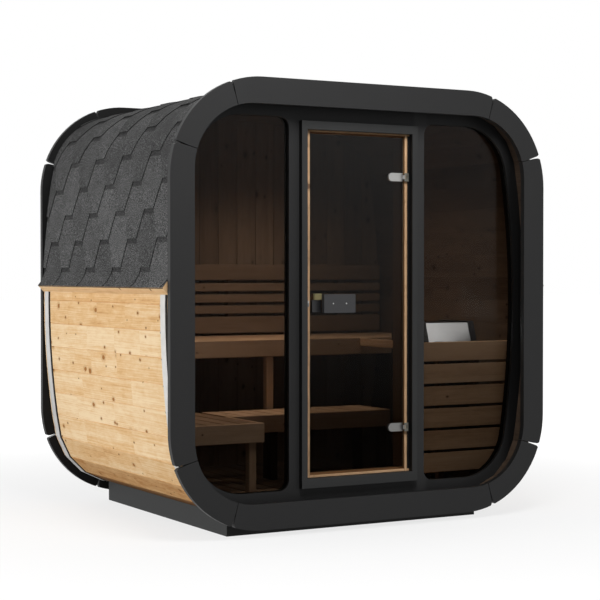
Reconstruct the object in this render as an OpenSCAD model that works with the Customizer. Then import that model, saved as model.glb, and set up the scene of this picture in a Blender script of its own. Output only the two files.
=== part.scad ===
// Cube sauna: a square cabin with rounded corners, coopered from flat staves that run
// front to back, with painted fascia boards at both ends, a shingled roof skin,
// a glazed front wall and one glass door that swings outwards.
// Frame: X to the right seen from the front, Y to the back, Z up, ground at Z = 0.

/* [Cabin] */
// depth of the cabin from front fascia to back fascia
cabin_d = 1615; // [1200:5:2600]
// height of the shell's centre above the ground
centre_z = 1068; // [1030:1:1200]
// half width and half height of the shell at the middle of a side
shell_half = 1024; // [1000:1:1060]
// radius of the gently bowed sides, roof and floor
bow_r = 4300; // [3600:50:6000]
// radius of the shell's rounded corners
corner_r = 353; // [300:1:400]

/* [Staves] */
// thickness of a stave
stave_t = 42; // [36:1:48]
// staves in a quarter of the shell
quarter_staves = 15; // [13:1:17]
// width of the V groove outside each stave joint
groove_w = 5; // [2:0.5:8]
// depth of the V groove outside each stave joint
groove_d = 3; // [1:0.5:5]
// depth of the V groove inside each stave joint
inner_groove_d = 1.5; // [0.5:0.5:3]

/* [Fascias] */
// thickness of the fascia boards
fascia_t = 28; // [20:1:36]
// half size of the fascia's outer outline
fascia_half = 1033; // [1028:1:1070]
// corner radius of the fascia's outer outline
fascia_r = 465; // [420:1:500]
// half size of the fascia's opening
opening_half = 912; // [890:1:925]
// corner radius of the fascia's opening
opening_r = 307; // [280:1:340]
// half width of the slot between two boards near their outer end
slot_half = 5; // [2:0.5:8]

/* [Base] */
// distance from the middle to the outer face of a base beam
base_half = 694; // [640:1:720]
// thickness of a base beam
base_t = 52; // [40:1:70]
// distance from the front to the base's front end
base_front = 119; // [112:1:200]
// distance from the front to the base's back end
base_back = 1504; // [1400:1:1504]

/* [Straps] */
// width of a steel strap
strap_w = 52; // [30:1:53]
// thickness of a steel strap with its backing
strap_t = 4; // [2:0.5:5]
// distance from the front to the front strap's edge
strap_front_in = 66; // [40:1:66]
// distance from the back to the back strap's edge
strap_back_in = 48; // [40:1:58]

/* [Roof] */
// thickness of the shingle skin, which lies over the straps
shingle_t = 4; // [3:0.5:6]
// thickness of the shingles' free lower edge
eave_t = 6; // [4:0.5:8]
// thickness of the ridge cap
cap_t = 3; // [2:0.5:5]
// stave joints on each side of the ridge that the cap covers
cap_staves = 1; // [1:1:2]
// height of the shingles' lower edge above the shell's centre
eave_z = 75; // [60:1:100]
// distance from the middle to the shingles' lower edge
eave_half = 1065; // [1050:1:1075]

/* [Front wall] */
// distance from the front to the front wall's face
wall_in = 100; // [90:1:140]
// thickness of both end walls
wall_t = 45; // [38:1:60]
// distance from the middle to a window's inner edge
window_in = 378; // [350:1:420]
// height of a window's top edge above the shell's centre
window_top = 868; // [700:1:880]
// depth of a window's bottom edge below the shell's centre
window_low = 875; // [600:1:880]
// distance from the shell's outside to a window's outer edge
window_margin = 103; // [95:1:140]
// radius of a window's outer corners
window_r = 250; // [150:1:280]
// radius of a window's inner corners
window_in_r = 50; // [20:1:80]
// thickness of the lip in front of a pane
window_lip = 15; // [10:1:20]
// width of the rebate that holds a pane
rebate_w = 12; // [8:1:16]
// thickness of a window pane
pane_t = 8; // [6:1:12]

/* [Doorway] */
// half width of the painted door frame
frame_half = 323; // [310:1:340]
// height of the door frame's top edge above the ground
frame_top = 1920; // [1880:1:1940]
// height of the door frame's bottom edge above the ground
frame_low = 200; // [180:1:220]
// how far the door frame stands proud of the wall
frame_proud = 27; // [15:1:40]
// half width of the hole in the wall
hole_half = 292.5; // [285:0.5:300]
// height of the hole's top edge above the ground
hole_top = 1881; // [1840:1:1900]
// height of the hole's bottom edge above the ground
hole_low = 246; // [225:1:260]
// depth of the wooden jamb
jamb_d = 105; // [60:1:120]
// half width of the clear doorway between the jambs
clear_half = 271; // [268:0.5:278]
// height of the clear doorway's top above the ground
clear_top = 1872.5; // [1869:0.5:1876]
// height of the sill's top above the ground
sill_top = 258; // [252:1:262]

/* [Door] */
// half width of the glass leaf
glass_half = 265; // [255:1:265]
// height of the leaf's bottom edge above the ground
glass_low = 268; // [264:1:280]
// height of the leaf's top edge above the ground
glass_top = 1864; // [1840:1:1866]
// thickness of the glass leaf
glass_t = 8; // [6:1:10]
// distance from the cabin's front to the leaf's face
glass_in = 113; // [112:1:118]
// height of the upper hinge
hinge_high = 1673; // [1500:1:1720]
// height of the lower hinge
hinge_low = 461; // [420:1:600]
// length of a hinge plate
plate_l = 84; // [70:1:110]
// height of a hinge plate
plate_h = 40; // [30:2:50]
// thickness of a hinge plate
plate_t = 8; // [5:1:8]
// radius of a hinge knuckle
knuckle_r = 6; // [5:0.5:6.5]
// radius of a hinge pin
pin_r = 3; // [2:0.5:4]
// play between a hinge pin and its bore
pin_play = 0.2; // [0.1:0.05:0.4]
// width of the handle plate
handle_w = 171.5; // [120:0.5:200]
// height of the handle plate
handle_h = 87.5; // [60:0.5:120]
// thickness of the handle plate
handle_t = 23; // [15:1:30]
// height of the handle's middle above the ground
handle_z = 1065; // [950:0.5:1150]

/* [Benches] */
// height of the upper bench
upper_z = 866; // [800:1:950]
// distance from the front to the upper bench's front edge
upper_in = 812; // [700:1:900]
// height of the lower bench
lower_z = 510; // [400:1:600]
// distance from the front to the lower bench's front edge
lower_in = 500; // [450:1:600]
// distance from the front to the end of the lower bench's left arm
arm_in = 150; // [148:1:250]
// distance from the middle to the arm's inner edge
arm_edge = 480; // [420:1:560]
// thickness of the bench slats
slat_t = 26; // [20:1:32]
// height of the duckboard's top above the ground
duck_z = 150; // [148:1:170]

/* [Heater] */
// distance from the front to the guard's face
guard_in = 208; // [206:1:240]
// distance from the middle to the guard's inner end
guard_edge = 450; // [400:1:500]
// height of the guard's top above the ground
guard_z = 863; // [700:1:900]
// slats in the guard
guard_slats = 6; // [4:1:8]
// height of one guard slat
guard_slat_h = 95; // [60:1:105]
// height from one guard slat to the next
guard_pitch = 111; // [100:1:120]

/* [Hidden] */
$fn = 96;
front = -cabin_d / 2;
// shell: centres and arc lengths of the bowed sides and the corner turns
bow_c = shell_half - bow_r;
corner_c = (bow_c + sqrt(2 * pow(bow_r - corner_r, 2) - pow(bow_c, 2))) / 2;
bow_angle = atan2(corner_c, corner_c - bow_c);
bow_len = bow_r * bow_angle * PI / 180;
turn_len = corner_r * (90 - 2 * bow_angle) * PI / 180;
quarter_len = 2 * bow_len + turn_len;
stave_w = quarter_len / quarter_staves;
stave_d = cabin_d - 2 * fascia_t;
ring_staves = 4 * quarter_staves;
// side groups reach this many staves from the middle of a side, and the corners take the rest
side_reach = floor(quarter_staves * 0.4);
wide = 3 * shell_half;
// fascia joint on the rail's end, and the slot's half width along it
joint_in = [695, 900];
joint_out = [722, 997];
joint_run = joint_out - joint_in;
joint_n = [joint_run[1], -joint_run[0]] / norm(joint_run);
slot_steps = [[-0.6, 0.3], [0.44, 0.3], [0.95, 1], [1.03, 1.5], [1.09, 2.6], [1.13, 4.4], [1.4, 9]];
// end walls
back_in = cabin_d - wall_in - wall_t;
lap = 1;
// parts that lie against the shell's flats stop this far short of them
flat_gap = 0.05;
// hinge axis
axis_x = glass_half - 1;
axis_y = front + wall_in - 8;
knuckle_h = 19;
knuckle_gap = 0.5;
core_r = 9;
plate_end = glass_half - 5;
core_x = plate_end - 40;
clamp_grip = 12;
// handle
handle_x = -210.5;
handle_y = front + 60;
bolt_x = [handle_x + 0.305 * handle_w, handle_x + 0.76 * handle_w];
post_r = 8;
stem_r = 5;
washer_r = 12;
washer_t = 6;
catch_t = 1;
catch_w = 12;
catch_reveal = 24;
catch_h = 28;
// latch: its body below, its ribbed grip above
latch_x = -255;
latch_z = 1081;
latch_w = 50;
latch_h = 57;
latch_t = 16;
grip_w = 38;
grip_h = 29;
grip_t = 14;
// benches
leg_w = 40;
bearer_h = 40;
board_t = 22;
end_half = 1000;
upper_front_h = 86;
upper_post_x = -80;
lower_front_h = 85;
lower_right = 441;
arm_front_h = 90;
slat_play = 11;
bearer_in = 40;
// backrest
backrest_low = 880;
backrest_in = 1405;
backrest_half = 950;
backrest_thin = 44;
backrest_foot = 90;
backrest_head = 85;
slat_gap = 17;
// duckboard
duck_slat = 80;
duck_pitch = 92;
duck_reach = 6;
joist_w = 60;
joist_in = [250, 780, 1310];
// heater
heater_x = 512;
heater_w = 331;
cheek_w = 35;
post_w = 36;
foot_w = 30;
foot_x = [600, 690];
foot_in = [370, 550];
// the heater's side view: its front from the chin up to the nose, and its slanting top face
heater_low = 300;
heater_back = 600;
chin = [345, 690];
nose = [283, 790];
brow = [337, 962];
recess = 8;
panel_t = 6;

wood = [0.86, 0.72, 0.54];
pale_wood = [0.90, 0.78, 0.60];
charcoal = [0.22, 0.22, 0.23];
steel = [0.78, 0.78, 0.78];
glass = [0.55, 0.60, 0.62, 0.35];

// a point on the shell's profile: u runs up a quarter from the side's middle to the roof's,
// off is measured outwards from the shell's outside
function on_quarter(u, off) =
    u <= bow_len
        ? let (a = u / bow_r * 180 / PI)
          [bow_c + (bow_r + off) * cos(a), (bow_r + off) * sin(a)]
    : u >= quarter_len - bow_len
        ? let (a = (quarter_len - u) / bow_r * 180 / PI)
          [(bow_r + off) * sin(a), bow_c + (bow_r + off) * cos(a)]
    : let (a = bow_angle + (u - bow_len) / corner_r * 180 / PI)
      [corner_c + (corner_r + off) * cos(a), corner_c + (corner_r + off) * sin(a)];

function turned(p, n) = n <= 0 ? p : turned([-p[1], p[0]], n - 1);

// joint k between two staves, counted upwards from the right side's middle
function joint_pt(k, off) =
    let (n = floor(k / quarter_staves))
    turned(on_quarter((k - n * quarter_staves) * stave_w, off), ((n % 4) + 4) % 4);

function mix(a, b, t) = a + (b - a) * t;

// one face of a group of staves with a V groove at every joint, half a groove at its ends
function grooved_face(k0, k1, off, depth) =
    let (t = groove_w / 2 / stave_w)
    [for (k = [k0 : k1]) each [
        if (k > k0) mix(joint_pt(k, off), joint_pt(k - 1, off), t),
        joint_pt(k, off + depth),
        if (k < k1) mix(joint_pt(k, off), joint_pt(k + 1, off), t)]];

function reversed(list) = [for (i = [len(list) - 1 : -1 : 0]) list[i]];

function fascia_joint(side) =
    [for (s = slot_steps) joint_in + s[0] * joint_run + side * s[1] * slot_half * joint_n];

function swapped(list) = [for (p = list) [p[1], p[0]]];

function mirrored(list) = [for (p = list) [-p[0], p[1]]];

module along_depth(y, l) {
    translate([0, y + l, centre_z])
        rotate([90, 0, 0])
            linear_extrude(l)
                children();
}

module along_width(x, l) {
    translate([x, 0, 0])
        rotate([90, 0, 90])
            linear_extrude(l)
                children();
}

module box(x0, x1, y0, y1, z0, z1) {
    translate([x0, y0, z0])
        cube([x1 - x0, y1 - y0, z1 - z0]);
}

module upright_rect(half, z0, z1) {
    translate([-half, z0 - centre_z])
        square([2 * half, z1 - z0]);
}

module rod(x, y0, y1, z, r) {
    translate([x, y1, z])
        rotate([90, 0, 0])
            cylinder(r = r, h = y1 - y0);
}

module both_sides() {
    children();
    mirror([1, 0, 0])
        children();
}

module shell_outline(off) {
    polygon([for (k = [0 : ring_staves - 1]) joint_pt(k, off)]);
}

module inside_only() {
    intersection() {
        along_depth(front + wall_in + wall_t, back_in - wall_in - wall_t)
            shell_outline(-stave_t - flat_gap);
        children();
    }
}

module staves(k0, k1) {
    color(wood)
        along_depth(front + fascia_t, stave_d)
            polygon(concat(grooved_face(k0, k1, 0, -groove_d),
                reversed(grooved_face(k0, k1, -stave_t, inner_groove_d))));
}

module right_staves() {
    staves(-side_reach, side_reach);
}

module upper_right_staves() {
    staves(side_reach, quarter_staves - side_reach);
}

module roof_staves() {
    staves(quarter_staves - side_reach, quarter_staves + side_reach);
}

module upper_left_staves() {
    staves(quarter_staves + side_reach, 2 * quarter_staves - side_reach);
}

module left_staves() {
    staves(2 * quarter_staves - side_reach, 2 * quarter_staves + side_reach);
}

module lower_left_staves() {
    staves(2 * quarter_staves + side_reach, 3 * quarter_staves - side_reach);
}

module floor_staves() {
    staves(3 * quarter_staves - side_reach, 3 * quarter_staves + side_reach);
}

module lower_right_staves() {
    staves(3 * quarter_staves + side_reach, 4 * quarter_staves - side_reach);
}

module rounded_square(half, r) {
    square([2 * half, 2 * (half - r)], center = true);
    square([2 * (half - r), 2 * half], center = true);
    for (i = [-1, 1], j = [-1, 1])
        translate([i * (half - r), j * (half - r)])
            circle(r);
}

module fascia_boards(y) {
    color(charcoal)
        along_depth(y, fascia_t)
            intersection() {
                difference() {
                    rounded_square(fascia_half, fascia_r);
                    rounded_square(opening_half, opening_r);
                }
                children();
            }
}

module rail_wedges() {
    edge = fascia_joint(-1);
    for (a = [0, 180])
        rotate(a)
            polygon(concat(edge, reversed(mirrored(edge))));
}

module corner_wedges() {
    edge = fascia_joint(1);
    for (a = [0 : 90 : 270])
        rotate(a)
            polygon(concat(edge, [[wide, wide]], reversed(swapped(edge))));
}

module front_fascia_rails() {
    fascia_boards(front)
        rail_wedges();
}

module front_fascia_sides() {
    fascia_boards(front)
        rotate(90)
            rail_wedges();
}

module front_fascia_corners() {
    fascia_boards(front)
        corner_wedges();
}

module back_fascia_rails() {
    fascia_boards(-front - fascia_t)
        rail_wedges();
}

module back_fascia_sides() {
    fascia_boards(-front - fascia_t)
        rotate(90)
            rail_wedges();
}

module back_fascia_corners() {
    fascia_boards(-front - fascia_t)
        corner_wedges();
}

module under_shell(x0, x1) {
    difference() {
        translate([x0, -centre_z])
            square([x1 - x0, shell_half / 4]);
        shell_outline(flat_gap);
    }
}

module base_side_beams() {
    color(charcoal)
        both_sides()
            along_depth(front + base_front, base_back - base_front)
                under_shell(base_half - base_t, base_half);
}

module base_cross_beams() {
    middle = (base_front + base_back - base_t) / 2;
    color(charcoal)
        for (y = [base_front, middle, base_back - base_t])
            along_depth(front + y, base_t)
                under_shell(base_t - base_half, base_half - base_t);
}

module strap(y) {
    color(steel)
        along_depth(y, strap_w)
            difference() {
                shell_outline(strap_t);
                shell_outline(flat_gap);
            }
}

module strap_front() {
    strap(front + strap_front_in);
}

module strap_back() {
    strap(-front - strap_back_in - strap_w);
}

module shingles_right() {
    color(charcoal)
        along_depth(front + fascia_t, stave_d)
            polygon(concat([[eave_half - eave_t, eave_z], [eave_half, eave_z + eave_t / 2]],
                [for (k = [1 : quarter_staves]) joint_pt(k, strap_t + shingle_t)],
                [for (k = [quarter_staves : -1 : 1]) joint_pt(k, strap_t + flat_gap)]));
}

module shingles_left() {
    mirror([1, 0, 0])
        shingles_right();
}

module ridge_cap() {
    low = strap_t + shingle_t;
    k0 = quarter_staves - cap_staves;
    k1 = quarter_staves + cap_staves;
    color(charcoal)
        along_depth(front + fascia_t, stave_d)
            polygon(concat([for (k = [k0 : k1]) joint_pt(k, low + flat_gap)],
                [for (k = [k1 : -1 : k0]) joint_pt(k, low + cap_t)]));
}

module eave_battens() {
    tip = eave_half - eave_t - lap;
    run = tip - shell_half + stave_t / 2;
    color(pale_wood)
        both_sides()
            along_depth(front + fascia_t, stave_d)
                difference() {
                    polygon([[tip, eave_z], joint_pt(1, strap_t), joint_pt(1, 0),
                        [tip - run, eave_z - run]]);
                    shell_outline(strap_t + flat_gap);
                }
}

// a window's outline on the right of the door, grown by g all round
module window_outline(g) {
    side_r = bow_r - window_margin + g;
    x0 = window_in - g;
    far = wide / 2;
    difference() {
        intersection() {
            translate([x0, -window_low - g])
                square([far, window_top + window_low + 2 * g]);
            translate([bow_c, 0])
                circle(side_r, $fn = 720);
        }
        window_corners(side_r, x0, window_top + g, g);
        mirror([0, 1])
            window_corners(side_r, x0, window_low + g, g);
    }
}

module window_corners(side_r, x0, top, g) {
    r = window_r + g;
    h = top - r;
    cx = bow_c + sqrt(pow(side_r - r, 2) - h * h);
    out = [cx - bow_c, h] / (side_r - r);
    r_in = window_in_r + g;
    corner_waste([cx, h], r, [[cx, top + r], [cx + 2 * r, top + r], [cx, h] + 2 * r * out]);
    corner_waste([x0 + r_in, top - r_in], r_in,
        [[x0 - r_in, top - r_in], [x0 - r_in, top + r_in], [x0 + r_in, top + r_in]]);
}

module corner_waste(c, r, far_points) {
    difference() {
        polygon(concat([c], far_points));
        translate(c)
            circle(r);
    }
}

module wall_part(x0, z0, x1, z1) {
    along_depth(front + wall_in, wall_t)
        intersection() {
            shell_outline(-stave_t - flat_gap);
            translate([x0, z0])
                square([x1 - x0, z1 - z0]);
        }
}

module front_wall_right() {
    color(charcoal)
        difference() {
            wall_part(hole_half, -wide, wide, wide);
            along_depth(front + wall_in - lap, wall_t + 2 * lap)
                window_outline(0);
            along_depth(front + wall_in + window_lip, wall_t)
                window_outline(rebate_w);
        }
}

module front_wall_left() {
    mirror([1, 0, 0])
        front_wall_right();
}

module front_wall_middle() {
    color(charcoal) {
        wall_part(-hole_half, hole_top - centre_z, hole_half, wide);
        wall_part(-hole_half, -wide, hole_half, hole_low - centre_z);
    }
}

module window_panes() {
    color(glass)
        both_sides()
            along_depth(front + wall_in + window_lip, pane_t)
                window_outline(rebate_w - 1);
}

module window_beads() {
    color(wood)
        both_sides()
            along_depth(front + wall_in + window_lip + pane_t, wall_t - window_lip - pane_t)
                difference() {
                    window_outline(rebate_w);
                    window_outline(0);
                }
}

module door_frame() {
    color(charcoal)
        along_depth(front + wall_in - frame_proud, frame_proud)
            difference() {
                upright_rect(frame_half, frame_low, frame_top);
                upright_rect(hole_half, hole_low, hole_top);
            }
}

module door_jamb() {
    color(pale_wood)
        along_depth(front + wall_in, jamb_d)
            difference() {
                upright_rect(hole_half, hole_low, hole_top);
                upright_rect(clear_half, sill_top, clear_top);
            }
}

module knuckle(z0, z1) {
    translate([axis_x, axis_y, z0])
        cylinder(r = knuckle_r, h = z1 - z0);
}

module hinge_brackets() {
    leaf_t = 6;
    leaf_x = clear_half + 1;
    leaf_w = 12;
    color(steel)
        for (z = [hinge_low, hinge_high]) {
            box(leaf_x, leaf_x + leaf_w, front + wall_in - leaf_t, front + wall_in,
                z - plate_h / 2, z + plate_h / 2);
            for (s = [-1, 1]) {
                z0 = s > 0 ? z + knuckle_h / 2 + knuckle_gap : z - plate_h / 2;
                z1 = s > 0 ? z + plate_h / 2 : z - knuckle_h / 2 - knuckle_gap;
                knuckle(z0, z1);
                box(axis_x, leaf_x + leaf_t, axis_y - knuckle_r + 1, axis_y + knuckle_r - 1,
                    z0, z1);
            }
            translate([axis_x, axis_y, z - plate_h / 2])
                cylinder(r = pin_r, h = plate_h);
        }
}

module latch_catch() {
    z0 = handle_z - catch_h / 2;
    face = front + wall_in;
    color(steel) {
        box(-clear_half - catch_w, -clear_half + catch_t, face - catch_t, face, z0, z0 + catch_h);
        box(-clear_half, -clear_half + catch_t, face - catch_t, face + catch_reveal,
            z0, z0 + catch_h);
    }
}

module back_wall() {
    color(wood)
        along_depth(front + back_in, wall_t)
            shell_outline(-stave_t - flat_gap);
}

module floor_duckboard() {
    reach = duck_reach * duck_pitch + duck_slat / 2;
    slat_low = duck_z - 20;
    color(pale_wood)
        inside_only() {
            for (i = [-duck_reach : duck_reach])
                box(i * duck_pitch - duck_slat / 2, i * duck_pitch + duck_slat / 2,
                    front + wall_in + wall_t + 7, front + back_in - 8, slat_low, duck_z);
            for (y = joist_in)
                box(-reach, reach, front + y, front + y + joist_w, 0, slat_low);
        }
}

module upper_bench() {
    pitch = 120;
    slat_w = 110;
    slats = 5;
    slats_in = upper_in + board_t + 6;
    low = upper_z - slat_t;
    color(pale_wood)
        inside_only() {
            box(-end_half, end_half, front + upper_in, front + upper_in + board_t,
                upper_z - upper_front_h, upper_z);
            for (i = [0 : slats - 1])
                box(-end_half, end_half, front + slats_in + i * pitch,
                    front + slats_in + i * pitch + slat_w, low, upper_z);
            for (x = [-end_half + leg_w, upper_post_x, end_half - 2 * leg_w])
                box(x - leg_w / 2, x + leg_w / 2, front + upper_in + board_t, front + back_in,
                    low - bearer_h, low);
            box(upper_post_x - leg_w / 2, upper_post_x + leg_w / 2, front + upper_in + board_t,
                front + upper_in + board_t + leg_w, duck_z, low);
        }
}

module lower_bench() {
    low = lower_z - slat_t;
    back = upper_in + 3;
    wall_end = 935;
    arm_slats = 5;
    arm_pitch = (wall_end - arm_edge - board_t) / arm_slats;
    main_slats = 10;
    main_pitch = (lower_right + arm_edge - board_t) / main_slats;
    bearers = [lower_in + bearer_in, back - bearer_in - 5];
    arm_bearer = arm_in + bearer_in;
    arm_leg = arm_edge + board_t - 2;
    color(pale_wood)
        inside_only() {
            // left arm, its end board and its side board
            box(-end_half, -arm_edge, front + arm_in, front + arm_in + board_t,
                lower_z - arm_front_h, lower_z);
            box(-arm_edge - board_t, -arm_edge, front + arm_in, front + lower_in + board_t,
                lower_z - lower_front_h, lower_z);
            for (i = [0 : arm_slats - 1])
                box(-wall_end + i * arm_pitch, -wall_end + (i + 1) * arm_pitch - slat_play,
                    front + arm_in + board_t, front + back, low, lower_z);
            // main part, its front board and its end board
            box(-arm_edge, lower_right, front + lower_in, front + lower_in + board_t,
                lower_z - lower_front_h, lower_z);
            box(lower_right - board_t, lower_right, front + lower_in, front + back,
                lower_z - lower_front_h, lower_z);
            for (i = [0 : main_slats - 1])
                box(-arm_edge + i * main_pitch, -arm_edge + (i + 1) * main_pitch - slat_play,
                    front + lower_in + board_t, front + back, low, lower_z);
            // bearers
            box(-end_half, -arm_edge, front + arm_bearer, front + arm_bearer + leg_w,
                low - bearer_h, low);
            for (y = bearers)
                box(-end_half, lower_right, front + y, front + y + leg_w, low - bearer_h, low);
            // legs
            box(-arm_leg - leg_w, -arm_leg, front + arm_bearer, front + arm_bearer + leg_w,
                duck_z, low);
            for (x = [upper_post_x - 30, lower_right - leg_w], y = bearers)
                box(x, x + leg_w, front + y, front + y + leg_w, duck_z, low);
        }
}

module backrest() {
    y0 = front + backrest_in;
    first = backrest_low + backrest_foot + slat_gap;
    top = first + 3 * (backrest_thin + slat_gap);
    color(pale_wood) {
        box(-backrest_half, backrest_half, y0, y0 + board_t,
            backrest_low, backrest_low + backrest_foot);
        for (i = [0 : 2])
            box(-backrest_half, backrest_half, y0, y0 + board_t,
                first + i * (backrest_thin + slat_gap),
                first + i * (backrest_thin + slat_gap) + backrest_thin);
        box(-backrest_half, backrest_half, y0, y0 + board_t, top, top + backrest_head);
        for (x = [-700, 0, 700])
            box(x - backrest_thin / 2, x + backrest_thin / 2, y0 + board_t, front + back_in,
                backrest_low, top + backrest_head);
    }
}

module heater_guard() {
    y0 = front + guard_in;
    color(pale_wood)
        inside_only() {
            for (i = [0 : guard_slats - 1])
                box(guard_edge, end_half, y0, y0 + board_t,
                    guard_z - i * guard_pitch - guard_slat_h, guard_z - i * guard_pitch);
            // one post stands on the duckboard, the other beside it on the floor
            for (p = [[555, duck_z], [767, 0]])
                box(p[0], p[0] + post_w, y0 + board_t, y0 + board_t + post_w, p[1], guard_z);
            box(guard_edge, guard_edge + board_t, y0, front + upper_in,
                guard_z - bearer_h, guard_z);
        }
}

// side view of the heater, d behind its cheeks' outline
module heater_profile(d) {
    y = front + d;
    back = front + heater_back;
    polygon([[y + chin[0], heater_low + d], [y + chin[0], chin[1]], [y + nose[0], nose[1]],
        [y + brow[0], brow[1] - d], [back, brow[1] - d], [back, heater_low + d]]);
}

module heater_body() {
    color(charcoal) {
        along_width(heater_x, cheek_w)
            heater_profile(0);
        along_width(heater_x + cheek_w, heater_w - 2 * cheek_w)
            heater_profile(recess);
        along_width(heater_x + heater_w - cheek_w, cheek_w)
            heater_profile(0);
        inside_only()
            for (x = foot_x, y = foot_in)
                box(x, x + foot_w, front + y, front + y + foot_w, 0, heater_low + recess + 2);
    }
}

module heater_panel() {
    // it lies on the recessed face between the cheeks
    foot = [front + recess + nose[0], nose[1]];
    run = [brow[0] - nose[0], brow[1] - recess - nose[1]];
    out = [-run[1], run[0]] / norm(run);
    p0 = foot + 0.04 * run + flat_gap * out;
    p1 = foot + 0.99 * run + flat_gap * out;
    color(steel)
        along_width(heater_x + cheek_w, heater_w - 2 * cheek_w)
            polygon([p0, p0 + panel_t * out, p1 + panel_t * out, p1]);
}

module door_glass() {
    z_mid = [hinge_low, hinge_high];
    color(glass)
        difference() {
            box(-glass_half, glass_half, front + glass_in, front + glass_in + glass_t,
                glass_low, glass_top);
            for (z = z_mid)
                rod(core_x, front + glass_in - lap, front + glass_in + glass_t + lap, z, core_r);
            for (x = bolt_x)
                rod(x, front + glass_in - lap, front + glass_in + glass_t + lap, handle_z,
                    stem_r);
        }
}

module clamp_plate(y, z) {
    box(plate_end - plate_l + plate_h / 2, plate_end, y, y + plate_t,
        z - plate_h / 2, z + plate_h / 2);
    rod(plate_end - plate_l + plate_h / 2, y, y + plate_t, z, plate_h / 2);
}

module door_clamps() {
    face = front + glass_in;
    color(steel)
        for (z = [hinge_low, hinge_high])
            difference() {
                union() {
                    clamp_plate(face - plate_t, z);
                    clamp_plate(face + glass_t, z);
                    rod(core_x, face - lap, face + glass_t + lap, z, core_r);
                    knuckle(z - knuckle_h / 2, z + knuckle_h / 2);
                    box(axis_x - clamp_grip, axis_x - 1, axis_y - 2, face - lap,
                        z - knuckle_h / 2, z + knuckle_h / 2);
                }
                translate([axis_x, axis_y, z - knuckle_h])
                    cylinder(r = pin_r + pin_play, h = 2 * knuckle_h);
            }
}

module door_handle() {
    face = front + glass_in;
    color(charcoal) {
        box(handle_x, handle_x + handle_w, handle_y, handle_y + handle_t,
            handle_z - handle_h / 2, handle_z + handle_h / 2);
        for (x = bolt_x) {
            rod(x, handle_y + handle_t - lap, face, handle_z, post_r);
            rod(x, face - lap, face + glass_t + lap, handle_z, stem_r);
            rod(x, face + glass_t, face + glass_t + washer_t, handle_z, washer_r);
        }
    }
}

module latch_body() {
    face = front + glass_in;
    color(charcoal)
        box(latch_x, latch_x + latch_w, face - latch_t, face, latch_z - latch_h, latch_z);
}

module latch_grip() {
    face = front + glass_in;
    x0 = latch_x + 15;
    z0 = latch_z + 2;
    ribs = 6;
    pitch = 6;
    rib_d = 3;
    color([0.80, 0.72, 0.50])
        difference() {
            box(x0, x0 + grip_w, face - grip_t, face, z0, z0 + grip_h);
            for (i = [0 : ribs - 1])
                box(x0 + rib_d + i * pitch, x0 + 2 * rib_d + i * pitch, face - grip_t - lap,
                    face - grip_t + rib_d, z0 - lap, z0 + grip_h + lap);
        }
}

right_staves();
upper_right_staves();
roof_staves();
upper_left_staves();
left_staves();
lower_left_staves();
floor_staves();
lower_right_staves();
front_fascia_rails();
front_fascia_sides();
front_fascia_corners();
back_fascia_rails();
back_fascia_sides();
back_fascia_corners();
base_side_beams();
base_cross_beams();
strap_front();
strap_back();
shingles_right();
shingles_left();
ridge_cap();
eave_battens();
front_wall_left();
front_wall_right();
front_wall_middle();
window_panes();
window_beads();
door_frame();
door_jamb();
hinge_brackets();
latch_catch();
back_wall();
floor_duckboard();
upper_bench();
lower_bench();
backrest();
heater_guard();
heater_body();
heater_panel();
door_glass();
door_clamps();
door_handle();
latch_body();
latch_grip();
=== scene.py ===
import itertools
import math
import random

import bpy
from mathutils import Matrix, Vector


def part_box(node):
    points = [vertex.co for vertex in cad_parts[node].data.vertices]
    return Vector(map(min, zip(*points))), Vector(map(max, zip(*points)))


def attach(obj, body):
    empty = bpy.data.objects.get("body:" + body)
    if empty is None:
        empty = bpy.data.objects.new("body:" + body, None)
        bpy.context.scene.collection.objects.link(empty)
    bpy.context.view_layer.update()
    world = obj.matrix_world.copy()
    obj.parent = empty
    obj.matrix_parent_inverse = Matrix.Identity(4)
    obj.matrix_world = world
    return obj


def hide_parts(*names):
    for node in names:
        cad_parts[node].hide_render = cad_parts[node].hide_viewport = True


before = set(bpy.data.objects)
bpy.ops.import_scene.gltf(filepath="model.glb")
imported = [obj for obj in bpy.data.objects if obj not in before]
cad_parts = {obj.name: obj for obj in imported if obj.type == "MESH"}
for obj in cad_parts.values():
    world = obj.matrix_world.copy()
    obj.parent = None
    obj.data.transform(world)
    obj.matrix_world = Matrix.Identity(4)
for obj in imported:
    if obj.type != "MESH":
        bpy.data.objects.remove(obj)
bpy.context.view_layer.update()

# ---------------- the frame's numbers
MM = 0.001
ACROSS, DEEP, UP = 0, 1, 2  # the axes that a board's grain can follow
lo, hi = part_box("right_staves")
HALF = hi[0]  # shell, middle of a side
CZ = (lo[2] + hi[2]) / 2  # height of the shell's centre
Y0, Y1 = lo[1], hi[1]  # staves run between the fascias
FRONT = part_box("front_fascia_rails")[0][1]
BOW_R, CORNER_R, STAVE_T = 4.3, 0.353, 0.042  # the shell's profile, as in the CAD
QUARTER = 15  # staves in a quarter of the shell
STAVES = 4 * QUARTER
BOW_C = HALF - BOW_R
CORNER_C = (BOW_C + math.sqrt(2 * (BOW_R - CORNER_R) ** 2 - BOW_C ** 2)) / 2
BOW_A = math.atan2(CORNER_C, CORNER_C - BOW_C)
BOW_L = BOW_R * BOW_A
TURN_L = CORNER_R * (math.pi / 2 - 2 * BOW_A)
QUARTER_L = 2 * BOW_L + TURN_L
STAVE_W = QUARTER_L / QUARTER


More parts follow.
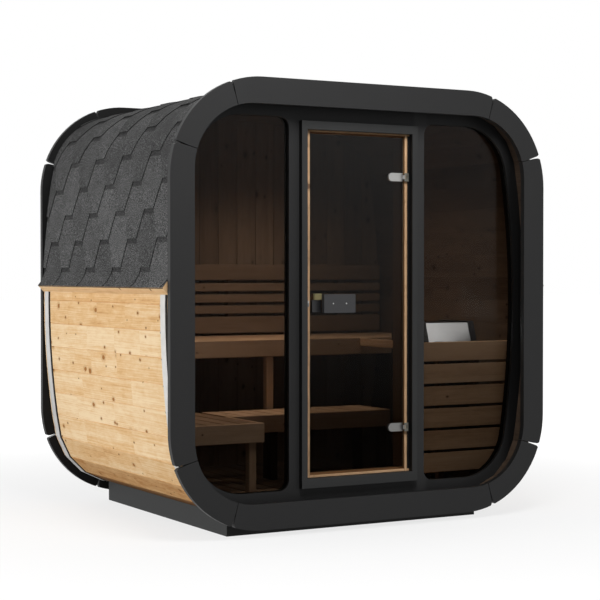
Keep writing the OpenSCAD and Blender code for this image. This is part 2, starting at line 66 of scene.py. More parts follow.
def on_quarter(u, off):
    """The point (x, z) at the length u along the first quarter, off metres outside the shell."""
    if u <= BOW_L:
        a = u / BOW_R
        return BOW_C + (BOW_R + off) * math.cos(a), (BOW_R + off) * math.sin(a)
    if u >= QUARTER_L - BOW_L:
        a = (QUARTER_L - u) / BOW_R
        return (BOW_R + off) * math.sin(a), BOW_C + (BOW_R + off) * math.cos(a)
    a = BOW_A + (u - BOW_L) / CORNER_R
    return CORNER_C + (CORNER_R + off) * math.cos(a), CORNER_C + (CORNER_R + off) * math.sin(a)


def turned(point, quarters):
    """The point after some quarter turns about the shell's centre."""
    x, z = point
    for _ in range(quarters % 4):
        x, z = -z, x
    return x, z


def ring(s, off):
    """The point at the length s round the whole shell, from the middle of its right side up."""
    n = math.floor(s / QUARTER_L)
    return turned(on_quarter(s - n * QUARTER_L, off), n)


def joint(k, off):
    """The corner between the staves k - 1 and k."""
    n = k // QUARTER
    return Vector(turned(on_quarter((k - n * QUARTER) * STAVE_W, off), n))


# ---------------- node helpers
def material(name):
    m = bpy.data.materials.new(name)
    m.use_nodes = True
    nt = m.node_tree
    for n in list(nt.nodes):
        nt.nodes.remove(n)
    return m, nt


def node(nt, kind, inputs=None, **settings):
    """A shader node. An input is either a value or the output it is linked to."""
    n = nt.nodes.new("ShaderNode" + kind)
    for k, v in settings.items():
        setattr(n, k, v)
    for k, v in (inputs or {}).items():
        if hasattr(v, "is_output"):
            nt.links.new(v, n.inputs[k])
        else:
            n.inputs[k].default_value = v
    return n


def math_node(nt, op, a, b=0.0, c=None, clamp=False):
    inputs = {0: a, 1: b} if c is None else {0: a, 1: b, 2: c}
    return node(nt, "Math", inputs, operation=op, use_clamp=clamp).outputs[0]


def swing(nt, base, value, amount, clamp=False):
    """base, moved by amount times how far value is from a half."""
    return math_node(nt, "MULTIPLY_ADD", math_node(nt, "SUBTRACT", value, 0.5), amount, base, clamp)


def xyz(nt, vector):
    return node(nt, "SeparateXYZ", {0: vector}).outputs


def place(nt):
    return node(nt, "TexCoord").outputs["Object"]


def facing(nt):
    return node(nt, "NewGeometry").outputs["Normal"]


def scaled(nt, vec, scale):
    return node(nt, "Mapping", {"Vector": vec, "Scale": scale}).outputs[0]


def noise(nt, vec, scale, detail=2.0, rough=0.5, distortion=0.0):
    inputs = {"Vector": scaled(nt, vec, scale), "Scale": 1.0, "Detail": detail, "Roughness": rough,
              "Distortion": distortion}
    return node(nt, "TexNoise", inputs).outputs["Fac"]


def ramp(nt, fac, stops, smooth=False):
    n = node(nt, "ValToRGB", {"Fac": fac})
    n.color_ramp.interpolation = "EASE" if smooth else "LINEAR"
    els = n.color_ramp.elements
    while len(els) > 1:
        els.remove(els[-1])
    els[0].position = stops[0][0]
    els[0].color = tuple(stops[0][1]) + (1,)
    for p, c in stops[1:]:
        els.new(p).color = tuple(c) + (1,)
    return n.outputs["Color"]


def mix(nt, fac, a, b, blend="MIX"):
    a, b = (c if hasattr(c, "is_output") else tuple(c) + (1,) for c in (a, b))
    return node(nt, "Mix", {0: fac, 6: a, 7: b}, data_type="RGBA", blend_type=blend).outputs[2]


def attribute(nt, name, output="Fac"):
    return node(nt, "Attribute", attribute_name=name).outputs[output]


def times(colour, k):
    return tuple(c * k for c in colour)


def bump(nt, height, strength, distance):
    return node(nt, "Bump", {"Height": height, "Strength": strength, "Distance": distance}).outputs[0]


def surface(nt, shader):
    node(nt, "OutputMaterial", {"Surface": shader.outputs[0]})


def principled(nt, colour, rough, normal, **others):
    inputs = {"Base Color": colour, "Roughness": rough, "Normal": normal, **others}
    surface(nt, node(nt, "BsdfPrincipled", inputs))


# ---------------- materials
def knots_in(nt, co, share):
    """Knots run through the board: one in a few cells of a plane pattern holds one.

    Gives the knot's heart, the halo round it, its size and a random value, all of them sockets."""
    vor = node(nt, "TexVoronoi", {"Vector": scaled(nt, co, (8.5, 12, 12)), "Scale": 1.0, "Randomness": 1.0},
               feature="F1", voronoi_dimensions="2D")
    cell = node(nt, "SeparateColor", {0: vor.outputs["Color"]})
    wobble = math_node(nt, "MULTIPLY_ADD", noise(nt, co, (70, 110, 110)), 0.07, -0.035)
    dist = math_node(nt, "ADD", vor.outputs["Distance"], wobble)
    size = math_node(nt, "MULTIPLY_ADD", math_node(nt, "POWER", cell.outputs[1], 2.6), 0.115, 0.034)
    there = math_node(nt, "LESS_THAN", cell.outputs[0], 0.55 * share)
    rel = math_node(nt, "DIVIDE", dist, size)
    heart = math_node(nt, "MULTIPLY", math_node(nt, "MULTIPLY_ADD", rel, -3.2, 3.7, True), there)
    halo = math_node(nt, "MULTIPLY", math_node(nt, "MULTIPLY_ADD", rel, -0.7, 1.7, True), there)
    return heart, halo, size, cell.outputs[2]


def growth_rings(nt, co, halo, rings):
    """Late wood of the rings round a pith that lies off the board, pushed aside by the knots."""
    at = xyz(nt, co)
    warp = noise(nt, co, (0.7, 2.0, 2.0), 2.0, 0.45)
    y = math_node(nt, "MULTIPLY_ADD", warp, 0.06, at[1])
    z = math_node(nt, "MULTIPLY_ADD", halo, 0.010, at[2])
    r = math_node(nt, "SQRT", math_node(nt, "ADD", math_node(nt, "MULTIPLY", y, y),
                                        math_node(nt, "MULTIPLY", z, z)))
    return math_node(nt, "POWER", math_node(nt, "FRACT", math_node(nt, "MULTIPLY", r, rings)), 3.0)


def wood(name, pale, mid, deep, knot=(0.085, 0.04, 0.02), knots=1.0, rough=0.55, gloss=0.3,
         rings=130.0, contrast=1.0):
    """Spruce: growth rings, streaks, fibre, and knots with a dark heart, along the grain attribute."""
    m, nt = material(name)
    co = attribute(nt, "grain", "Vector")
    heart, halo, size, chance = knots_in(nt, co, knots)
    late = growth_rings(nt, co, halo, rings)
    streak = noise(nt, co, (0.8, 15, 15), 2.0, 0.5, 0.1)
    blotch = noise(nt, co, (11, 26, 26), 4.0, 0.7, 0.3)
    fine = noise(nt, co, (3.5, 150, 150), 4.0, 0.75, 0.1)
    fibre = noise(nt, co, (9, 420, 420), 3.0, 0.6)
    t = math_node(nt, "MULTIPLY_ADD", attribute(nt, "tone"), 0.82, 0.02)
    t = math_node(nt, "MULTIPLY_ADD", late, 0.20 * contrast, t)
    t = swing(nt, t, streak, 0.8 * contrast)
    t = swing(nt, t, blotch, 0.8 * contrast)
    t = swing(nt, t, fine, 0.95 * contrast)
    t = swing(nt, t, fibre, 0.25, clamp=True)
    col = ramp(nt, t, [(0.0, pale), (0.5, mid), (1.0, deep)])
    warm = tuple(0.70 * d + 0.16 * k for d, k in zip(deep, knot))
    col = mix(nt, math_node(nt, "MULTIPLY", halo, 0.42), col, warm)
    # small knots are dark, wide ones are brown, and some of either kind are paler
    big = math_node(nt, "MULTIPLY", math_node(nt, "SUBTRACT", size, 0.028), 14.0, clamp=True)
    big = math_node(nt, "MAXIMUM", big, math_node(nt, "MULTIPLY", chance, 0.75))
    heart_col = mix(nt, big, knot, tuple(0.62 * d + 0.30 * k for d, k in zip(deep, knot)))
    col = mix(nt, heart, col, heart_col)
    # the shade attribute paints shade into the colour, down to near black
    col = mix(nt, attribute(nt, "shade"), col, times(deep, 0.06))
    height = math_node(nt, "MULTIPLY_ADD", late, 0.4, math_node(nt, "MULTIPLY", fibre, 0.6))
    rf = math_node(nt, "MULTIPLY_ADD", late, 0.08, rough - 0.04)
    principled(nt, col, rf, bump(nt, height, 0.25, 0.4 * MM), **{"Specular IOR Level": gloss})
    return m


def paint(name, colour, rough=0.5, spec=0.35, grain=0.35, reveal=None, middle=0.0, along=None,
          front=None):
    """Opaque stain on planed boards: the fibre shows through as fine relief and in the sheen.

    reveal: how much of the colour is left on faces turned towards the opening (a fascia's inner
    edge, middle being the height of its centre) or, with middle 0, on all edge faces: painted shade.
    along: how strong the colour is at some places along x, from -1 to 1: painted light where it is
    above 1 and painted shade where it is below.
    front: the grey of faces turned to the front, which is painted shade."""
    m, nt = material(name)
    at = place(nt)
    streak = noise(nt, at, (6, 6, 6), 3.0, 0.6)
    fine = noise(nt, at, (260, 260, 260), 3.0, 0.65)
    f = math_node(nt, "ADD", math_node(nt, "MULTIPLY", streak, 0.7), math_node(nt, "MULTIPLY", fine, 0.3))
    col = mix(nt, f, times(colour, 0.86), times(colour, 1.16))
    if reveal is not None:
        side = math_node(nt, "LESS_THAN", math_node(nt, "ABSOLUTE", xyz(nt, facing(nt))[1]), 0.5)
        if middle:
            spoke = node(nt, "VectorMath", {0: at, 1: (0, 0, middle)}, operation="SUBTRACT")
            dot = node(nt, "VectorMath", {0: spoke.outputs[0], 1: facing(nt)}, operation="DOT_PRODUCT")
            inward = math_node(nt, "LESS_THAN", dot.outputs["Value"], 0.0)
            side = math_node(nt, "MULTIPLY", side, inward)
        col = mix(nt, side, col, mix(nt, f, times(colour, 0.8 * reveal), times(colour, 1.1 * reveal)))
    if front is not None:
        col = mix(nt, math_node(nt, "LESS_THAN", xyz(nt, facing(nt))[1], -0.7), col, (front,) * 3)
    if along:
        share = math_node(nt, "MULTIPLY_ADD", xyz(nt, at)[0], 0.5, 0.5, clamp=True)
        depth = ramp(nt, share, [(0.5 + x / 2, (k / 2,) * 3) for x, k in along])
        col = mix(nt, 1.0, mix(nt, 1.0, col, depth, "MULTIPLY"), (2, 2, 2), "MULTIPLY")
    rf = math_node(nt, "ADD", math_node(nt, "MULTIPLY", fine, 0.16), rough - 0.08)
    principled(nt, col, rf, bump(nt, fine, grain, 0.6 * MM), **{"Specular IOR Level": spec})
    return m


def metal(name, colour, rough=0.35, brushed=(3, 3, 300), metallic=1.0, patch=0.0, barrel=None, dull=None):
    """Brushed or cast metal. barrel: from which x on the piece is the darker barrel of a hinge.
    dull: below which height it is half as bright, which is painted shade."""
    m, nt = material(name)
    at = place(nt)
    b = noise(nt, at, brushed, 3.0, 0.6)
    p = noise(nt, at, (28, 28, 28))
    f = math_node(nt, "ADD", math_node(nt, "MULTIPLY", b, 0.6), math_node(nt, "MULTIPLY", p, 0.4 + patch))
    col = mix(nt, f, times(colour, 0.82), times(colour, 1.1))
    # painted shade: half as bright below the given height
    if dull:
        col = mix(nt, math_node(nt, "LESS_THAN", xyz(nt, at)[2], dull), col, times(colour, 0.45))
    if barrel:
        col = mix(nt, math_node(nt, "GREATER_THAN", xyz(nt, at)[0], barrel), col, (0.19, 0.165, 0.13))
    rf = math_node(nt, "ADD", math_node(nt, "MULTIPLY", b, 0.14), rough - 0.07)
    principled(nt, col, rf, bump(nt, b, 0.12, 0.3 * MM), Metallic=metallic)
    return m


def glass(name, tint, inside, ior):
    """Tinted pane: dims what is seen through it, lets the lamps in, and has a painted reflection that grows
    towards its top.
    """
    m, nt = material(name)
    lp = node(nt, "LightPath").outputs
    other = mix(nt, lp["Is Glossy Ray"], inside, (0.95, 0.95, 0.95))
    clear = node(nt, "BsdfTransparent", {"Color": mix(nt, lp["Is Camera Ray"], other, tint)})
    # painted reflection: the mirror's colour goes from near black low down to white high up
    mirror_by_height = math_node(nt, "MULTIPLY_ADD", xyz(nt, place(nt))[2], 0.72, -0.34, clamp=True)
    sheen = mix(nt, mirror_by_height, (0.05, 0.05, 0.05), (1, 1, 1))
    mirror = node(nt, "BsdfGlossy", {"Color": sheen, "Roughness": 0.02})
    fresnel = node(nt, "Fresnel", {"IOR": ior})
    parts = {i: part.outputs[0] for i, part in enumerate((fresnel, clear, mirror))}
    surface(nt, node(nt, "MixShader", parts))
    return m


def shingle_material():
    """Slate granules on bitumen; shade darkens the bands and the cut edges."""
    m, nt = material("shingle_granules")
    co = attribute(nt, "sheet", "Vector")
    vor = node(nt, "TexVoronoi", {"Vector": scaled(nt, co, (620, 620, 620)), "Scale": 1.0}, feature="F1")
    grit = node(nt, "SeparateColor", {0: vor.outputs["Color"]}).outputs[0]
    big = noise(nt, co, (120, 120, 120), 3.0, 0.7)
    patch = noise(nt, co, (9, 9, 9), 3.0, 0.6)
    speck = noise(nt, co, (200, 200, 200), 3.0, 0.9)
    t = swing(nt, 0.50, speck, 4.2)
    t = swing(nt, t, grit, 0.45)
    t = swing(nt, t, patch, 0.35)
    t = swing(nt, t, attribute(nt, "tone"), 0.35, clamp=True)
    stops = ((0.0, 0.011), (0.45, 0.048), (0.8, 0.104), (1.0, 0.22))
    col = ramp(nt, t, [(at, (grey,) * 3) for at, grey in stops], smooth=True)
    dark = math_node(nt, "MULTIPLY", attribute(nt, "shade"), 0.60, clamp=True)
    col = mix(nt, dark, col, (0.008, 0.008, 0.008))
    height = math_node(nt, "ADD", math_node(nt, "MULTIPLY", grit, 0.5), math_node(nt, "MULTIPLY", big, 0.5))
    principled(nt, col, 0.92, bump(nt, height, 0.6, 1.2 * MM), **{"Specular IOR Level": 0.2})
    return m


SPRUCE = wood("spruce_staves", (0.89, 0.685, 0.435), (0.75, 0.475, 0.228), (0.50, 0.22, 0.065),
              knot=(0.15, 0.062, 0.02), rough=0.7, gloss=0.03)
JAMB = wood("jamb_wood", (0.86, 0.56, 0.33), (0.62, 0.385, 0.215), (0.29, 0.165, 0.095),
            knots=0.9, gloss=0.08, contrast=1.5)
# the jamb's faces towards the opening: a deeper brown that is painted shade
JAMB_SIDE = wood("jamb_reveal", (0.20, 0.105, 0.045), (0.15, 0.075, 0.03), (0.085, 0.04, 0.016),
                 knots=0.5, gloss=0.08)
PALE = wood("spruce_trim", (0.84, 0.60, 0.35), (0.74, 0.47, 0.235), (0.52, 0.25, 0.09),
            knots=0.6, gloss=0.1)
# a dark brown for the staves' inner faces in the porch and behind the back wall: painted shade
SHADED_REVEAL = wood("shaded_reveal", (0.075, 0.050, 0.034), (0.054, 0.036, 0.025), (0.032, 0.021, 0.014),
              knot=(0.02, 0.012, 0.008), knots=0.5, gloss=0.1)
# the spruce inside and the back wall's inner face are far darker than the outside: painted shade
INNER = wood("spruce_inside", (0.150, 0.102, 0.069), (0.105, 0.070, 0.047), (0.066, 0.042, 0.027),
             knot=(0.03, 0.017, 0.011), gloss=0.1)
BACK_WALL = wood("spruce_wall", (0.300, 0.212, 0.147), (0.210, 0.144, 0.099), (0.130, 0.085, 0.057),
                 knot=(0.04, 0.024, 0.016), gloss=0.1)
BENCH = wood("bench_wood", (0.62, 0.42, 0.275), (0.49, 0.32, 0.20), (0.33, 0.20, 0.115),
             knots=0.2, gloss=0.12)
BENCH_LOW = wood("bench_wood_shaded", (0.40, 0.27, 0.178), (0.31, 0.20, 0.127), (0.20, 0.124, 0.071),
                 knots=0.2, gloss=0.08)
# near-black wood for what lies under the benches and behind the guard: painted shade
BENCH_DARK = wood("bench_wood_under", (0.05, 0.034, 0.022), (0.036, 0.024, 0.015), (0.022, 0.014, 0.008),
                  knots=0.2, gloss=0.05)
# the backrest is darker than the benches: painted shade
BACKREST = wood("backrest_wood", (0.29, 0.205, 0.145), (0.225, 0.157, 0.108), (0.155, 0.102, 0.066),
                knots=0.2, gloss=0.12)
GUARD = wood("guard_wood", (0.86, 0.575, 0.355), (0.73, 0.465, 0.27), (0.51, 0.305, 0.168),
             knots=0.2, gloss=0.1)
FLOOR_WOOD = wood("duckboard_wood", (0.84, 0.60, 0.41), (0.70, 0.485, 0.325), (0.50, 0.33, 0.21),
                  knots=0.2, gloss=0.1)
# the fascias' faces towards the opening keep only part of the colour: painted shade
CHARCOAL = paint("charcoal_stain", (0.021, 0.021, 0.0213), spec=0.22, reveal=0.35, middle=CZ)
# the back fascias' faces turned to the front are near black: painted shade
BACK_CHARCOAL = paint("charcoal_stain_back", (0.0215, 0.0215, 0.0218), spec=0.15, reveal=0.35,
                      middle=CZ, front=0.0048)
# the wall's edge faces keep 12 % of the colour: painted shade; along x it is lighter right of the door
# frame, painted light, and darker next to the shell on the right, painted shade
WALL_PAINT = paint("charcoal_wall", (0.0235, 0.0235, 0.0238), spec=0.15, reveal=0.12,
                   along=((-1, 1), (0.31, 1), (0.33, 1.75), (0.38, 1.6), (0.40, 1), (0.83, 1), (0.9, 0.2)))
BACK_STAIN = paint("charcoal_wall_back", (0.0235, 0.0235, 0.0238), spec=0.15)
DARK_MATT = paint("strap_backing", (0.016, 0.014, 0.013), rough=0.8, spec=0.1)
# the frame's edge faces keep 15 % of the colour: painted shade
FRAME_PAINT = paint("frame_paint", (0.0335, 0.034, 0.034), rough=0.42, spec=0.2, grain=0.15, reveal=0.15)
BEAD_PAINT = paint("bead_paint", (0.006, 0.006, 0.006), rough=0.6, spec=0.1, grain=0.1)
# faces turned to the front are a darker grey: painted shade
BASE_STAIN = paint("base_stain", (0.0262, 0.0272, 0.0272), rough=0.6, spec=0.2, front=0.0225)
GALVANISED = metal("galvanised_steel", (0.58, 0.57, 0.555), 0.68, (8, 8, 8), metallic=0.4, patch=0.5)
# the lower clamp is half as bright as the upper: painted shade
SATIN = metal("satin_steel", (0.40, 0.395, 0.385), 0.40, (200, 4, 4), dull=CZ,
              barrel=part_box("hinge_brackets")[0][0] - 0.5 * MM)
HINGE_STEEL = metal("hinge_steel", (0.155, 0.15, 0.13), 0.45, (4, 4, 200), metallic=0.4)
SCREW = metal("screw_steel", (0.55, 0.55, 0.54), 0.3, (60, 60, 60), metallic=0.2)
HEATER_STEEL = metal("heater_steel", (0.79, 0.83, 0.865), 0.32, (3, 160, 160), metallic=0.9)
BLACK_STEEL = paint("heater_black", (0.010, 0.010, 0.011), rough=0.4, spec=0.4, grain=0.1)
HANDLE_GREY = paint("handle_grey", (0.040, 0.040, 0.042), rough=0.38, spec=0.35, grain=0.05)
LATCH_BLACK = paint("latch_black", (0.010, 0.010, 0.011), rough=0.35, spec=0.4, grain=0.05)
GRIP = paint("latch_grip_plastic", (0.30, 0.26, 0.13), rough=0.5, spec=0.4, grain=0.1)
GLASS_EDGE = paint("glass_edge", (0.30, 0.27, 0.21), rough=0.3, spec=0.4, grain=0.02)
PANE = glass("tinted_pane", (0.61, 0.59, 0.57), (0.72, 0.72, 0.72), 1.16)
LEAF = glass("tinted_leaf", (0.44, 0.43, 0.41), (0.45, 0.45, 0.45), 1.22)
SHINGLE = shingle_material()


# ---------------- mesh helpers
class Mesh:
    """Collects faces with a grain coordinate, a tone and a shade at each vertex."""

    def __init__(self):
        self.v, self.f, self.grain, self.tone, self.shade, self.mats = [], [], [], [], [], []

    def add(self, verts, faces, grain, tone=0.5, shade=None, mat=0):
        n = len(self.v)
        self.v += [tuple(p) for p in verts]
        self.f += [tuple(n + i for i in f) for f in faces]
        self.grain += grain
        self.tone += [tone] * len(verts)
        self.shade += shade or [0.0] * len(verts)
        self.mats += [mat] * len(faces)

    def build(self, name, mats, body="cabin", bevel=0.0, replaces=(), vector="grain", slot=None):
        me = bpy.data.meshes.new(name)
        me.from_pydata(self.v, [], self.f)
        a = me.attributes.new(vector, "FLOAT_VECTOR", "POINT")
        a.data.foreach_set("vector", [c for g in self.grain for c in g])
        for key, values in (("tone", self.tone), ("shade", self.shade)):
            me.attributes.new(key, "FLOAT", "POINT").data.foreach_set("value", values)
        for m in mats:
            me.materials.append(m)
        me.polygons.foreach_set("material_index", self.mats)
        me.update()
        o = bpy.data.objects.new(name, me)
        bpy.context.scene.collection.objects.link(o)
        if bevel:
            soften(o, bevel, 35)
            me.polygons.foreach_set("use_smooth", [True] * len(me.polygons))
        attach(o, body)
        if replaces:
            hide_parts(*replaces)


def soften(o, width, degrees):
    """Small round edges where faces meet at more than the angle."""
    b = o.modifiers.new("edges", "BEVEL")
    b.width = width
    b.segments = 2
    b.limit_method = "ANGLE"
    b.angle_limit = math.radians(degrees)
    b.harden_normals = True


def grain_of(p, axis, seed, thin):
    """The grain runs along axis, across the board and through its thin side, somewhere in a log."""
    r = random.Random(seed)
    ox, oy, oz = r.uniform(0, 30), r.uniform(-0.06, 0.06), r.uniform(0.02, 0.09)
    sx = r.choice((-1, 1))
    wide = 3 - axis - thin
    return (sx * p[axis] + ox, p[wide] + oy, p[thin] + oz)


def thin_side(sizes, axis):
    return min((i for i in range(3) if i != axis), key=lambda i: sizes[i])


def tone_of(seed, tone):
    return random.Random(seed * 31 + 5).uniform(0.15, 0.85) if tone is None else tone


BOX_CORNERS = [(0, 0, 0), (1, 0, 0), (1, 1, 0), (0, 1, 0), (0, 0, 1), (1, 0, 1), (1, 1, 1), (0, 1, 1)]
BOX_FACES = [(0, 3, 2, 1), (4, 5, 6, 7), (0, 1, 5, 4), (1, 2, 6, 5), (2, 3, 7, 6), (3, 0, 4, 7)]


def board(m, x0, x1, y0, y1, z0, z1, axis, seed, tone=None, mat=0):
    """A straight board, its grain along an axis."""
    c = [((x0, x1)[i], (y0, y1)[j], (z0, z1)[k]) for i, j, k in BOX_CORNERS]
    mid = ((x0 + x1) / 2, (y0 + y1) / 2, (z0 + z1) / 2)
    thin = thin_side((x1 - x0, y1 - y0, z1 - z0), axis)
    g = [grain_of([q - (0 if i == axis else w) for i, (q, w) in enumerate(zip(p, mid))], axis, seed, thin)
         for p in c]
    m.add(c, BOX_FACES, g, tone_of(seed, tone), mat=mat)


def prism(m, outline, y0, y1, seed, tone, axis=DEEP, mat=0, dusk=()):
    """A board with the outline (x, z) from y0 to y1, counter-clockwise as seen from the front.

    dusk: (y, shade) at places between its ends, where the shade changes from none at y0."""
    n = len(outline)
    cx = sum(p[0] for p in outline) / n
    cz = sum(p[1] for p in outline) / n
    places = [(y0, 0.0), *dusk, (y1, dusk[-1][1] if dusk else 0.0)]
    v = [(x, y, z) for y, _ in places for x, z in outline]
    thin = thin_side([max(q) - min(q) for q in zip(*v)], axis)
    g = [grain_of((x - cx, y, z - cz), axis, seed, thin) for x, y, z in v]
    faces = [tuple(range(n)), tuple(range(len(v) - 1, len(v) - n - 1, -1))]
    for j in range(0, len(v) - n, n):
        faces += [(j + i, j + n + i, j + n + (i + 1) % n, j + (i + 1) % n) for i in range(n)]
    m.add(v, faces, g, tone, [s for _, s in places for _ in outline], mat)


def mirrored(outline, side):
    """The outline on the right side, or turned over to the left."""
    return outline if side > 0 else [(-x, z) for x, z in reversed(outline)]


# ---------------- staves
GROUPS = {"right_staves": (-6, 6), "upper_right_staves": (6, 9), "roof_staves": (9, 21),
          "upper_left_staves": (21, 24), "left_staves": (24, 36), "lower_left_staves": (36, 39),
          "floor_staves": (39, 51), "lower_right_staves": (51, 54)}
# how deep the wood's colour is on the left side, from the eave down; the deepest, at the bottom, are
# painted shade where the staves turn under towards the base
TONES = {28: 0.45, 29: 0.50, 30: 0.44, 31: 0.08, 32: 0.34, 33: 0.28, 34: 0.08, 35: 0.26, 36: 0.42,
         37: 0.80, 38: 1.10, 39: 1.05}
# the staves beside the base, in its shade: how deep at their two edges
SHADES = {38: (0.35, 0.92), 39: (0.95, 0.95), 50: (0.95, 0.95), 51: (0.92, 0.35)}
# a length of a stave is a little deeper or paler than the next
PART_TONES = (0.045, -0.035, 0.015, -0.025)
WALL_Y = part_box("front_wall_middle")[0][1]
BACK_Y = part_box("back_wall")[1][1]
# stretches of a stave, and their inner faces: a dark brown of painted shade in the porch and at the back,
# and spruce darkened by painted shade inside
STRETCHES = [(Y0, WALL_Y, 1), (WALL_Y, BACK_Y, 2), (BACK_Y, Y1, 1)]


def finger_joints(rnd):
    """Places along a stave where two lengths of wood are joined end to end."""
    cuts = [Y0]
    while cuts[-1] < Y1 - 0.55:
        cuts.append(cuts[-1] + rnd.uniform(0.28, 0.75))
    return cuts + [Y1]


def stave(m, k):
    """A stave with chamfered edges, whose lengths of wood each have their own grain."""
    chamfer, groove, inner_chamfer, inner_groove = 2.4 * MM, 3 * MM, 1.2 * MM, 1.5 * MM
    a, b = joint(k, 0), joint(k + 1, 0)
    c, d = joint(k + 1, -STAVE_T), joint(k, -STAVE_T)
    along, inn = (b - a).normalized(), (c - d).normalized()
    pts = [joint(k, -groove), a + along * chamfer, b - along * chamfer, joint(k + 1, -groove),
           joint(k + 1, inner_groove - STAVE_T), c - inn * inner_chamfer, d + inn * inner_chamfer,
           joint(k, inner_groove - STAVE_T)]
    mid = (a + b) / 2
    outward = Vector((along[1], -along[0]))
    rnd = random.Random(k * 13 + 3)
    oy, oz, ox = rnd.uniform(-0.05, 0.05), rnd.uniform(0.03, 0.09), rnd.uniform(0, 30)
    tone = TONES.get(k % STAVES, rnd.uniform(0.1, 0.75))
    n = len(pts)
    ends = [tuple(range(n - 1, -1, -1)), tuple(range(n, 2 * n))]
    sides = [(i, (i + 1) % n, n + (i + 1) % n, n + i) for i in range(n)]
    cuts = finger_joints(rnd)
    dusk = SHADES.get(k, (0, 0))
    shade = [dusk[0] + (dusk[1] - dusk[0]) * (p - a).dot(along) / STAVE_W for p in pts] * 2
    for ya, yb, inner_mat in STRETCHES:
        for i, (c0, c1) in enumerate(zip(cuts, cuts[1:])):
            y0, y1 = max(ya, c0), min(yb, c1)
            if y1 - y0 < 1e-6:
                continue
            v = [(p[0], y, CZ + p[1]) for y in (y0, y1) for p in pts]
            g = [(y + ox + 3.7 * i, (p - mid).dot(along) + oy + 0.013 * i, (p - mid).dot(outward) + oz)
                 for y in (y0, y1) for p in pts]
            part = tone + PART_TONES[(i + k) % 4]
            m.add(v, ends + sides[:4] + [sides[7]], g, part, shade)
            m.add(v, sides[4:7], g, part, mat=inner_mat)


def stave_group(name, k0, k1):
    m = Mesh()
    for k in range(k0, k1):
        stave(m, k)
    m.build(name + "_boards", [SPRUCE, SHADED_REVEAL, INNER], replaces=(name,), slot="wood")


for name, (k0, k1) in GROUPS.items():
    stave_group(name, k0, k1)


# ---------------- shingles
RISE, PERIOD = 0.1337, 0.330  # from course to course, and from tab to tab
TAB, SLANT = 0.105, 0.060  # a tab's lower edge, and how far its side slants out
LAP = 4 * MM  # how far a tab's upper half goes under its neighbours
BAND = 22.8 * MM  # the dark band that the next course leaves bare
FIRST_S, FIRST_Y = 0.168, FRONT + 0.285  # the first tab's place
EAVE_S, FLARE_S = 0.0755, 0.125  # the roof skin's lower edge, and where it leaves the shell
SKIN_TOP, TAB_T = 8 * MM, 3.4 * MM  # a tab's lower edge above the shell, and its thickness
TIP_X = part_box("shingles_right")[1][0]
TIP_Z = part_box("shingles_right")[0][2] - CZ


def roof_point(s, off):
    """Up the roof skin: along the shell, but flaring out to the eave over its lowest part."""
    x, z = on_quarter(max(s, FLARE_S), off)
    if s < FLARE_S:
        t = (FLARE_S - s) / (FLARE_S - EAVE_S)
        tip_x = TIP_X - 8.5 * MM + off
        tip_z = TIP_Z + 0.5 * MM + 0.05 * off
        x = x + (tip_x - x) * t ** 1.25
        z = z + (tip_z - z) * t
    return x, z


def clip(poly, axis, limit, keep_above):
    """The part of a convex outline on one side of a limit."""
    if len(poly) < 3:
        return poly
    out = []
    for i, p in enumerate(poly):
        q = poly[(i + 1) % len(poly)]
        p_in, q_in = (p[axis] >= limit) == keep_above, (q[axis] >= limit) == keep_above
        if p_in:
            out.append(p)
        if p_in != q_in:
            t = (limit - p[axis]) / (q[axis] - p[axis])
            out.append(tuple(a + (b - a) * t for a, b in zip(p, q)))
    return out


def half_width(d):
    """Half a tab's width, d metres up from the lower edge of its hexagon."""
    if d <= RISE:
        return TAB / 2 + SLANT * d / RISE
    return max(TAB / 2, TAB / 2 + SLANT - SLANT * (d - RISE) / RISE) + LAP


def roof_skin(m, side):
    """The felt under the tabs."""
    steps = 60
    v, g, f = [], [], []
    for i in range(steps + 1):
        s = EAVE_S + (QUARTER_L - EAVE_S) * i / steps
        for off in (0.3 * MM, 1.2 * MM):
            x, z = roof_point(s, off)
            for y in (Y0 + 0.5 * MM, Y1 - 0.5 * MM):
                v.append((side * x, y, CZ + z))
                g.append((y, s, off))
    for a in range(0, 4 * steps, 4):
        b = a + 4
        f += [(a, a + 1, b + 1, b), (a + 2, b + 2, b + 3, a + 3), (a, b, b + 2, a + 2),
              (a + 1, a + 3, b + 3, b + 1)]
    top = 4 * steps
    f += [(0, 2, 3, 1), (top, top + 1, top + 3, top + 2)]
    if side < 0:
        f = [tuple(reversed(q)) for q in f]
    m.add(v, f, g, 0.3, [1.0] * len(v))


def tab_piece(m, side, k, n, s0, quad, tone):
    """A stretch of a tab: its two faces, and its cut edges, which show black bitumen."""
    count = len(quad)
    v, g, shade = [], [], []
    for layer in (0, 1):
        for y, s in quad:
            off = SKIN_TOP - TAB_T * (s - s0) / RISE
            off -= min(TAB_T, off - 0.8 * MM) if layer else 0
            x, z = roof_point(s, off)
            v.append((side * x, y, CZ + z))
            g.append((y + k * 1.7, s + n * 2.3, off))
            shade.append(1.0 if s - s0 > 2 * RISE - BAND else 0.0)
    faces = [tuple(range(count)), tuple(range(2 * count - 1, count - 1, -1))]
    if side > 0:
        faces = [tuple(reversed(q)) for q in faces]
    m.add(v, faces, g, tone, shade)
    for i in range(count):
        j = (i + 1) % count
        sa, sb = quad[i][1], quad[j][1]
        inner_cut = abs(sa - sb) < 1e-9 and sa > s0 + 1e-6 and abs(sa - EAVE_S) > 1e-6
        at_ridge = abs(sa - QUARTER_L) + abs(sb - QUARTER_L) < 1e-9
        if inner_cut or at_ridge:
            continue
        corners = (i, j, count + j, count + i)
        face = (0, 1, 2, 3) if side > 0 else (3, 2, 1, 0)
        m.add([v[c] for c in corners], [face], [g[c] for c in corners], 0.1, [1.66] * 4)


